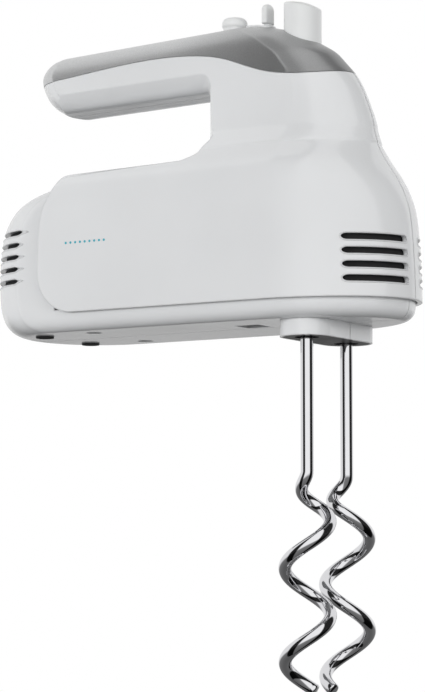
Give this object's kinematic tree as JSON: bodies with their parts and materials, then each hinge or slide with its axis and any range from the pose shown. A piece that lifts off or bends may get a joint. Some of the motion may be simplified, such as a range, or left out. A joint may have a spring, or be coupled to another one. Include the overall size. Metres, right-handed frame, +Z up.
{
  "type": "hand mixer",
  "caption": "Electric hand mixer: white moulded housing with loop handle, silver top cover, eject button, speed slider and pulse button, and spiral wire beaters driven by worm gears.",
  "frame": {"origin": "middle of the beater boss's underside, between the two beater axes", "axes": "+Z up, away from the beaters; +X towards the nose; +Y to the user's left"},
  "size_m": [0.2255, 0.0822, 0.3293],
  "materials": {
    "white_shell": "glossy moulded",
    "white_base": "glossy moulded",
    "white_button": "satin moulded",
    "silver_cover": "satin metallic",
    "black_plastic": "fine grain",
    "black_rubber": "matt",
    "zinc_screw": "zinc plated",
    "chrome_wire": "polished chrome",
    "steel": "ground",
    "gear_plastic": "moulded nylon",
    "bronze": "sintered bronze",
    "grey_plastic": "glass-filled",
    "laminations": "stacked sheet",
    "copper": "enamelled copper",
    "carbon": "graphite",
    "brass": "stamped",
    "board": "laminate",
    "terminal": "moulded",
    "brown_lead": "PVC",
    "blue_lead": "PVC"
  },
  "bodies": {
    "housing": {"upper_shell_right": "white_shell", "upper_shell_left": "white_shell", "base_shell_right": "white_base", "base_shell_left": "white_base", "top_cover": "silver_cover", "slider_track": "white_button", "nose_plate": "black_plastic", "latch_socket": "black_plastic", "cord_gland": "black_rubber", "rear_feet": "black_rubber", "base_screws": "zinc_screw", "lower_bushes": "bronze", "upper_bushes": "bronze", "gear_frame": "grey_plastic", "stator_core": "laminations", "field_coils": "copper", "front_bearing": "bronze", "rear_bearing": "bronze", "rear_bracket": "grey_plastic", "carbon_brushes": "carbon", "brush_holders": "brass", "brush_springs": "steel", "eject_spring": "steel", "turbo_spring": "steel", "control_chassis": "grey_plastic", "speed_switch": "black_plastic", "pulse_switch": "black_plastic", "control_board": "board", "board_parts": "black_plastic", "terminal_block": "terminal", "supply_lead_live": "brown_lead", "supply_lead_neutral": "blue_lead", "motor_lead": "black_rubber"},
    "armature": {"motor_shaft": "steel", "armature_core": "laminations", "armature_winding": "copper", "commutator": "copper", "cooling_fan": "black_plastic", "worm": "steel"},
    "spindle_r": {"spindle_right": "steel", "worm_wheel_right": "gear_plastic"},
    "spindle_l": {"spindle_left": "steel", "worm_wheel_left": "gear_plastic"},
    "beater_r": {"beater_right": "chrome_wire"},
    "beater_l": {"beater_left": "chrome_wire"},
    "ejector": {"eject_button": "white_button", "ejector_link": "grey_plastic"},
    "speed_control": {"speed_slider": "white_button"},
    "turbo": {"turbo_button": "white_button"}
  },
  "joints": [
    {"name": "armature_spin", "type": "hinge", "parent": "housing", "child": "armature", "pos_m": [0, 0, 0.044], "axis": [1, 0, 0], "continuous": true},
    {"name": "spindle_right_spin", "type": "hinge", "parent": "housing", "child": "spindle_r", "pos_m": [0, -0.019, 0.044], "axis": [0, 0, 1], "continuous": true},
    {"name": "spindle_left_spin", "type": "hinge", "parent": "housing", "child": "spindle_l", "pos_m": [0, 0.019, 0.044], "axis": [0, 0, 1], "continuous": true},
    {"name": "eject_press", "type": "slide", "parent": "housing", "child": "ejector", "axis": [0, 0, -1], "range_m": [0, 0.008], "stiffness_N_per_m": 450, "springref_m": -0.006, "deforming": ["eject_spring"]},
    {"name": "beater_right_release", "type": "slide", "parent": "spindle_r", "child": "beater_r", "axis": [0, 0, -1], "range_m": [0, 0.008]},
    {"name": "beater_left_release", "type": "slide", "parent": "spindle_l", "child": "beater_l", "axis": [0, 0, -1], "range_m": [0, 0.008]},
    {"name": "speed_slide", "type": "slide", "parent": "housing", "child": "speed_control", "axis": [-1, 0, 0], "range_m": [0, 0.008]},
    {"name": "turbo_press", "type": "slide", "parent": "housing", "child": "turbo", "axis": [0, 0, -1], "range_m": [0, 0.0025], "stiffness_N_per_m": 400, "springref_m": -0.003, "deforming": ["turbo_spring"]}
  ],
  "couplings": [
    {"joint": "spindle_right_spin", "follows": "armature_spin", "ratio": 0.071429},
    {"joint": "spindle_left_spin", "follows": "armature_spin", "ratio": -0.071429},
    {"joint": "beater_right_release", "follows": "eject_press", "ratio": 1},
    {"joint": "beater_left_release", "follows": "eject_press", "ratio": 1}
  ]
}
